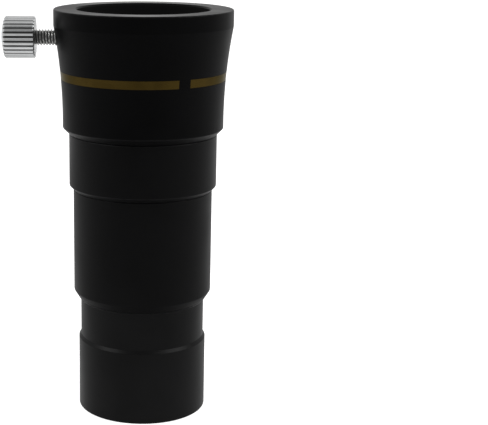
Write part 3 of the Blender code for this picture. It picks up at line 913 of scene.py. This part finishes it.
# %% Tree: screw thread
COUNT, FINISH, SHAPE = "NodeSocketInt", "NodeSocketMaterial", "NodeSocketGeometry"
CREST_HALF, FLANK_END = 0.06, 0.40
thread_tree, given, result = new_tree("GeometryNodeTree", "screw_thread", {
    "Columns": COUNT, "Rows": COUNT, "Start": NUMBER, "End": NUMBER, "Pitch": NUMBER,
    "Crest": NUMBER, "Root": NUMBER, "Neck From": NUMBER, "Neck": NUMBER, "Lead": NUMBER,
    "Finish": FINISH}, {"Geometry": SHAPE})
do, scaled = partial(calc, thread_tree), partial(remap, thread_tree)
mesh, turn, share, not_end = unrolled_bar(thread_tree, given["Columns"], given["Rows"])
height = scaled(share, 0.0, 1.0, given["Start"], given["End"])
climb = do("SUBTRACT", do("DIVIDE", height, given["Pitch"]), turn)
across = do("ABSOLUTE", do("SUBTRACT", do("FRACT", climb), 0.5))
deep = scaled(across, CREST_HALF, FLANK_END, 0.0, 1.0)
flank = scaled(deep, 0.0, 1.0, given["Crest"], given["Root"])
neck_reached = do("ADD", given["Neck From"], given["Pitch"])
to_neck = scaled(height, given["Neck From"], neck_reached, 0.0, 1.0, "SMOOTHSTEP")
body = scaled(to_neck, 0.0, 1.0, flank, given["Neck"])
from_start = do("SUBTRACT", height, given["Start"])
lead_in = do("ADD", do("SUBTRACT", given["Crest"], given["Lead"]), from_start)
radius = do("MULTIPLY", do("MINIMUM", body, lead_in), not_end)
# The neck counts as deepest, so that the steel's painted shade darkens it where the knob shadows it.
depth_mark = do("MAXIMUM", deep, to_neck)
thread = rolled_up(thread_tree, mesh, turn, radius, height, depth_mark, given["Finish"])
wire(thread_tree, thread, result[0])
print(f"{thread_tree.name}: {len(thread_tree.nodes)} nodes")

# %% [markdown]
# # Tapping the nose
# The end of the nose takes a filter on a fine thread of 0.6 mm pitch. A tap is a hard screw that
# cuts its own shape into a bore, and the same works here: the thread tree makes a long plug, and the
# Boolean takes it out of the nose. That gives true flanks that run out at the end face.

# %% Filter thread
NO_NECK = 1.0
tap = made_by(thread_tree, "filter_tap", columns=128, rows=112, start=-0.9 * MM,
              end=ring_low.z - 0.5 * MM, pitch=0.6 * MM, crest=THREAD_MAJOR,
              root=THREAD_MINOR - 0.03 * MM, neck_from=NO_NECK, neck=THREAD_MAJOR, lead=0.0,
              finish=nose_black)
cut(nose, tap)
keep(nose, "barrel", ["nose_barrel"])

# %% [markdown]
# # Retaining ring
# A thin screwed ring holds the lenses. It has two small holes for the pins of a spanner. Whatever
# their number, such holes sit evenly on a circle: the tree puts a pin on each point of a circle and
# takes all the pins out of the ring at once.

# %% Tree: spanner holes
holes_tree, given, result = new_tree("GeometryNodeTree", "spanner_holes", {
    "Ring": SHAPE, "Holes": COUNT, "Circle": NUMBER, "Hole Radius": NUMBER, "Floor": NUMBER,
    "Depth": NUMBER, "Azimuth": NUMBER, "Finish": FINISH}, {"Geometry": SHAPE})
make, do = partial(node, holes_tree), partial(calc, holes_tree)
circle = make("GeometryNodeMeshCircle", Vertices=given["Holes"], Radius=given["Circle"])
drop = do("SUBTRACT", given["Floor"], do("DIVIDE", given["Depth"], 2.0))
lifted = make("GeometryNodeTransform", Geometry=circle.outputs[0],
              Translation=make("ShaderNodeCombineXYZ", Z=drop).outputs[0],
              Rotation=make("ShaderNodeCombineXYZ", Z=given["Azimuth"]).outputs[0])
pin = make("GeometryNodeMeshCylinder", Vertices=40, Radius=given["Hole Radius"],
           Depth=given["Depth"])
pins = make("GeometryNodeInstanceOnPoints", Points=lifted.outputs[0], Instance=pin.outputs[0])
real_pins = make("GeometryNodeRealizeInstances", Geometry=pins.outputs[0])
drilled = make("GeometryNodeMeshBoolean", {"operation": "DIFFERENCE", "solver": "EXACT"},
               Mesh_1=given["Ring"], Mesh_2=real_pins.outputs[0])
real = make("GeometryNodeRealizeInstances", Geometry=drilled.outputs[0])
finished = make("GeometryNodeSetMaterial", Geometry=real.outputs[0], Material=given["Finish"])
wire(holes_tree, finished.outputs[0], result[0])
print(f"{holes_tree.name}: {len(holes_tree.nodes)} nodes")

# %% Ring
HOLE_DEPTH = 1.4 * MM
face_inner_r = aperture_r + 0.5 * MM
ring = turned_evenly("retaining_ring_dressed", [
    (ring_r, ring_high.z, 0.1 * MM),
    (ring_r, ring_low.z, 0.15 * MM),
    (face_inner_r, ring_low.z, 0.06 * MM),
    (aperture_r, ring_low.z + 0.5 * MM, 0.06 * MM),
    (aperture_r, ring_high.z, 0),
], matt_black)
run_tree(ring, holes_tree, {
    "holes": 2, "circle": (ring_r + face_inner_r) / 2, "hole_radius": 0.6 * MM,
    "floor": ring_low.z + HOLE_DEPTH, "depth": 2 * HOLE_DEPTH, "azimuth": math.radians(101),
    "finish": matt_black})
keep(ring, "barrel", ["retaining_ring"])

# %% [markdown]
# # Lenses
# Three pieces of glass sit in the nose: a flat-backed hollow lens, then a cemented pair. A lens is a
# turning too, with a sphere for each face, so many points along the curve give clean refraction. The
# ground rims have a small bevel, as every lens has, so that they don't chip.

# %% Lens outlines
LENS_STEPS = 14
LENS_TURN_STEPS = 128
RIM_BEVEL = 0.15 * MM


def face_points(centre, curve, rises):
    """A lens face from the axis outwards; the edge is higher than the centre where it rises."""
    radii = [(lens_r - RIM_BEVEL) * i / LENS_STEPS for i in range(LENS_STEPS + 1)]
    sags = [curve - math.sqrt(curve ** 2 - r ** 2) for r in radii]
    return [(r, centre + (s if rises else -s), 0.0) for r, s in zip(radii, sags)]


def lens(name, lower, upper):
    """A lens between two faces, with its bevelled rim."""
    rim_points = [(lens_r, upper[-1][1] - RIM_BEVEL, 0.5), (lens_r, lower[-1][1] + RIM_BEVEL, 0.5)]
    outline = upper + rim_points + lower[::-1]
    return turned(name, [outline] * LENS_TURN_STEPS, full_turn(LENS_TURN_STEPS), glass)


FLAT = 1000.0
FRONT_CURVE, MIDDLE_CURVE, CEMENTED_CURVE, REAR_CURVE = 51.7 * MM, 50 * MM, 40 * MM, 110 * MM
FRONT_THICK, MIDDLE_THICK, REAR_THICK = 2.2 * MM, 1.6 * MM, 3.6 * MM
front_foot = lens_low.z
front = lens("front_lens_dressed", face_points(front_foot, FLAT, True),
             face_points(front_foot + FRONT_THICK, FRONT_CURVE, True))
middle_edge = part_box("middle_lens")[0].z
middle_foot = middle_edge + MIDDLE_CURVE - math.sqrt(MIDDLE_CURVE ** 2 - lens_r ** 2)
pair_front = lens("middle_lens_dressed", face_points(middle_foot, MIDDLE_CURVE, False),
                  face_points(middle_foot + MIDDLE_THICK, CEMENTED_CURVE, True))
rear_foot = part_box("rear_lens")[0].z
pair_rear = lens("rear_lens_dressed", face_points(rear_foot, CEMENTED_CURVE, True),
                 face_points(rear_foot + REAR_THICK, REAR_CURVE, True))
for piece, name in ((front, "front_lens"), (pair_front, "middle_lens"), (pair_rear, "rear_lens")):
    keep(piece, "barrel", [name])

# %% Spacer
spacer_low, spacer_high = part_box("spacer_ring")
spacer_inner_r = lens_r - 1.2 * MM
spacer = turned_evenly("spacer_dressed", [
    (lens_r, spacer_high.z, 0.08 * MM),
    (lens_r, spacer_low.z, 0.08 * MM),
    (spacer_inner_r, spacer_low.z, 0.08 * MM),
    (spacer_inner_r, spacer_high.z, 0.08 * MM),
], matt_black)
keep(spacer, "barrel", ["spacer_ring"])

# %% [markdown]
# # The knurled thumbscrew
# The knob is a bar with 28 straight teeth, pressed in by a knurling wheel and then bevelled on
# the lathe at both ends, so that each groove runs out in the bevel. Its outer end is slightly
# crowned. That is a rule again: the radius is the smallest of the toothed bar, the two bevels and
# the crown's ball. The rows of the grid crowd towards the crown, where the radius changes fastest.
# The darkening is marked only where a groove is really left, so the crown and the flat face are not
# darkened.
# The screw is a right-handed M4, with a short plain neck under the knob.

# %% Tree: straight knurl
knurl_tree, given, result = new_tree("GeometryNodeTree", "straight_knurl", {
    "Teeth": COUNT, "Columns": COUNT, "Rows": COUNT, "Start": NUMBER, "End": NUMBER,
    "Radius": NUMBER, "Depth": NUMBER, "Crest Share": NUMBER, "Floor Share": NUMBER,
    "Start Bevel": NUMBER, "Start Run": NUMBER, "End Bevel": NUMBER, "Crown": NUMBER,
    "Finish": FINISH}, {"Geometry": SHAPE})
do, scaled = partial(calc, knurl_tree), partial(remap, knurl_tree)
columns = do("MULTIPLY", given["Teeth"], given["Columns"])
mesh, turn, share, not_end = unrolled_bar(knurl_tree, columns, given["Rows"])
left_over = do("SUBTRACT", 1.0, share)
crowded = do("SUBTRACT", 1.0, do("MULTIPLY", left_over, left_over))
height = scaled(crowded, 0.0, 1.0, given["Start"], given["End"])
tooth = do("FRACT", do("MULTIPLY_ADD", turn, given["Teeth"], 0.5))
aside = do("MULTIPLY", do("ABSOLUTE", do("SUBTRACT", tooth, 0.5)), 2.0)
floor_from = do("SUBTRACT", 1.0, given["Floor Share"])
deep = scaled(aside, given["Crest Share"], floor_from, 0.0, 1.0, "SMOOTHSTEP")
toothed = do("SUBTRACT", given["Radius"], do("MULTIPLY", deep, given["Depth"]))
from_start = do("SUBTRACT", height, given["Start"])
start_slope = do("DIVIDE", given["Start Bevel"], given["Start Run"])
start_r = do("SUBTRACT", given["Radius"], given["Start Bevel"])
start_bevel = do("MULTIPLY_ADD", from_start, start_slope, start_r)
below_top = do("SUBTRACT", given["End"], height)
face_r = do("SUBTRACT", given["Radius"], given["End Bevel"])
end_bevel = do("ADD", face_r, do("SUBTRACT", below_top, given["Crown"]))
face_r_squared = do("MULTIPLY", face_r, face_r)
crown_ball = do("ADD", do("DIVIDE", face_r_squared, given["Crown"]), given["Crown"])
crown_r = do("SQRT", do("MULTIPLY", below_top, do("SUBTRACT", crown_ball, below_top)))
on_crown = do("LESS_THAN", below_top, given["Crown"])
outer_end = scaled(on_crown, 0.0, 1.0, end_bevel, crown_r)
trimmed = do("MINIMUM", toothed, do("MINIMUM", start_bevel, outer_end))
radius = do("MULTIPLY", trimmed, not_end)
cut_away = do("SUBTRACT", toothed, trimmed)
still_groove = scaled(cut_away, 0.0, do("MULTIPLY", given["Depth"], 0.3), 1.0, 0.0)
off_face = do("GREATER_THAN", share, 0.0)
depth_mark = do("MULTIPLY", do("MULTIPLY", deep, still_groove), off_face)
knurl = rolled_up(knurl_tree, mesh, turn, radius, height, depth_mark, given["Finish"])
wire(knurl_tree, knurl, result[0])
print(f"{knurl_tree.name}: {len(knurl_tree.nodes)} nodes")

# %% Knob
knob = made_by(knurl_tree, "knurled_knob", teeth=28, columns=16, rows=120,
               start=-head_high.x, end=-head_low.x, radius=head_high.y, depth=0.4 * MM,
               crest_share=0.46, floor_share=0.125, start_bevel=0.2 * MM, start_run=0.2 * MM,
               end_bevel=0.35 * MM, crown=0.75 * MM, finish=nickel)
knob.data.transform(screw_place)
keep(knob, "thumbscrew", ["thumbscrew_head"])

# %% Threaded stud
NECK_LENGTH = 0.35 * MM
NECK_RUN = 0.35 * MM
stud = made_by(thread_tree, "threaded_stud", columns=64, rows=150, start=-stud_high.x,
               end=-head_high.x + 0.2 * MM, pitch=0.7 * MM, crest=stud_r, root=1.57 * MM,
               neck_from=-head_high.x - NECK_LENGTH - NECK_RUN, neck=1.65 * MM, lead=0.4 * MM,
               finish=steel)
tip_r = tip_high.y
tip_bore_r = tip_r + 0.08 * MM
tip_bore_floor = -tip_low.x + 0.3 * MM
tip_bore = turned_evenly("tip_bore", [
    (0, tip_bore_floor, 0),
    (tip_bore_r, tip_bore_floor, 0),
    (tip_bore_r, -stud_high.x - 1.0 * MM, 0),
    (0, -stud_high.x - 1.0 * MM, 0),
], steel, steps=CUTTER_STEPS)
cut(stud, tip_bore)
stud.data.transform(screw_place)
keep(stud, "thumbscrew", ["thumbscrew_stud"])

# %% Soft tip
tip = turned_evenly("soft_tip", [
    (0, -tip_low.x, 0),
    (tip_r, -tip_low.x, 0.1 * MM),
    (tip_r, -tip_high.x, 0.35 * MM),
    (0, -tip_high.x, 0),
], nylon, steps=64)
tip.data.transform(screw_place)
keep(tip, "clamp_tip", ["thumbscrew_tip"])

# %% [markdown]
# # Last look at the size
# The box of the dressed part is set against the box of the plain solids, and how far each side
# differs is printed in millimetres.

# %% Compare both boxes
low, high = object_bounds()
growth = [round((b - a) / MM, 3) for a, b in zip([*cad_low, *cad_high], [*low, *high])]
print("visual box against CAD box, mm:", growth)
